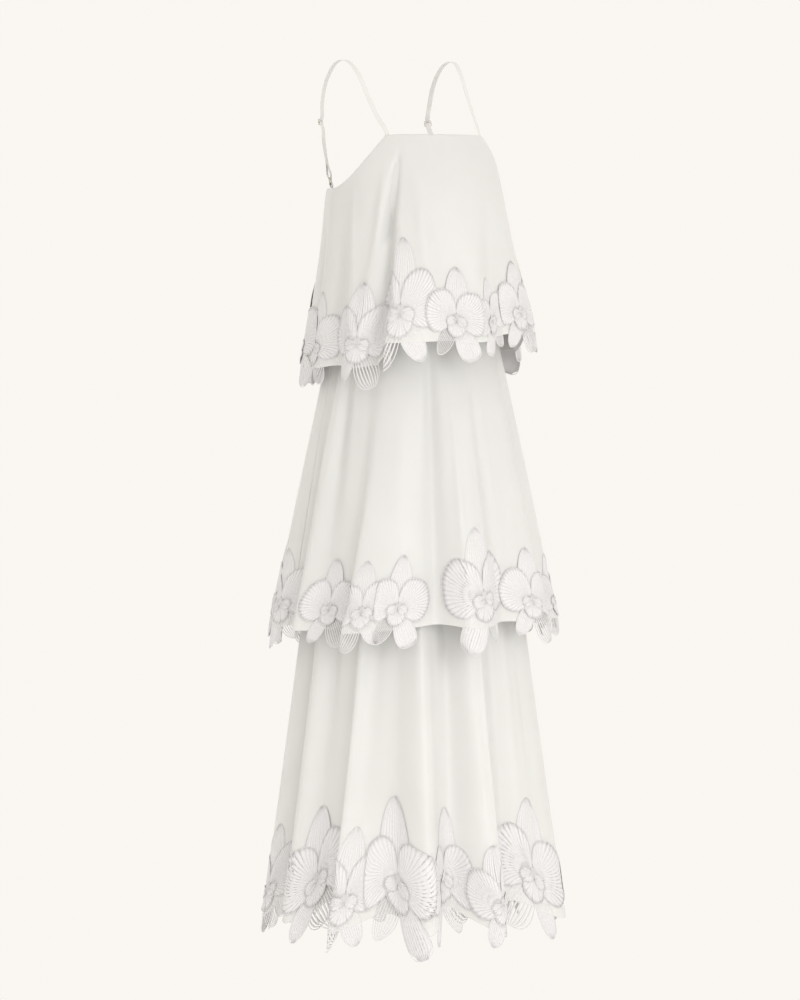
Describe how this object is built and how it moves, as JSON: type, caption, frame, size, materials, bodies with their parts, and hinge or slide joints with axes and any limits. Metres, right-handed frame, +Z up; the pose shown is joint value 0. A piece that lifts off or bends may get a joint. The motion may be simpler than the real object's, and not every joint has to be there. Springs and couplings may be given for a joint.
{
  "type": "maxi dress",
  "caption": "Sleeveless off-white maxi dress with thin straps, flared tiers and openwork orchid trim hanging past each hem, filled out as worn.",
  "frame": {"origin": "midway between the tops of the two shoulder straps, where a wearer's shoulders hold the dress", "axes": "+Z up, the dress faces -Y, and the wearer's left is at +X"},
  "size_m": [0.5052, 0.4886, 1.4189],
  "materials": {
    "off_white_cloth": "smooth woven satin-backed crepe with a soft sheen",
    "embroidered_organza": "white thread embroidery on sheer organza, with raised cords and open slots",
    "satin_ribbon": "narrow satin ribbon",
    "coated_metal": "smooth pale coated metal"
  },
  "bodies": {
    "root": {"middle_tier_back": "off_white_cloth", "middle_tier_front": "off_white_cloth", "middle_tier_orchid_01": "embroidered_organza", "middle_tier_orchid_02": "embroidered_organza", "middle_tier_orchid_03": "embroidered_organza", "middle_tier_orchid_04": "embroidered_organza", "middle_tier_orchid_05": "embroidered_organza", "middle_tier_orchid_06": "embroidered_organza", "middle_tier_orchid_07": "embroidered_organza", "middle_tier_orchid_08": "embroidered_organza", "middle_tier_orchid_09": "embroidered_organza", "middle_tier_orchid_10": "embroidered_organza", "middle_tier_orchid_11": "embroidered_organza", "middle_tier_orchid_12": "embroidered_organza", "middle_tier_orchid_13": "embroidered_organza", "slip_back": "off_white_cloth", "slip_front": "off_white_cloth", "slip_orchid_01": "embroidered_organza", "slip_orchid_02": "embroidered_organza", "slip_orchid_03": "embroidered_organza", "slip_orchid_04": "embroidered_organza", "slip_orchid_05": "embroidered_organza", "slip_orchid_06": "embroidered_organza", "slip_orchid_07": "embroidered_organza", "slip_orchid_08": "embroidered_organza", "slip_orchid_09": "embroidered_organza", "slip_orchid_10": "embroidered_organza", "slip_orchid_11": "embroidered_organza", "slip_orchid_12": "embroidered_organza", "slip_orchid_13": "embroidered_organza", "slip_orchid_14": "embroidered_organza", "strap_left": "satin_ribbon", "strap_right": "satin_ribbon", "strap_ring_left": "coated_metal", "strap_ring_right": "coated_metal", "strap_slider_left": "coated_metal", "strap_slider_right": "coated_metal", "strap_tab_left": "satin_ribbon", "strap_tab_right": "satin_ribbon", "top_tier_back": "off_white_cloth", "top_tier_front": "off_white_cloth", "top_tier_orchid_01": "embroidered_organza", "top_tier_orchid_02": "embroidered_organza", "top_tier_orchid_03": "embroidered_organza", "top_tier_orchid_04": "embroidered_organza", "top_tier_orchid_05": "embroidered_organza", "top_tier_orchid_06": "embroidered_organza", "top_tier_orchid_07": "embroidered_organza", "top_tier_orchid_08": "embroidered_organza", "top_tier_orchid_09": "embroidered_organza", "top_tier_orchid_10": "embroidered_organza", "top_tier_orchid_11": "embroidered_organza", "top_tier_orchid_12": "embroidered_organza", "top_tier_orchid_13": "embroidered_organza"}
  },
  "joints": []
}
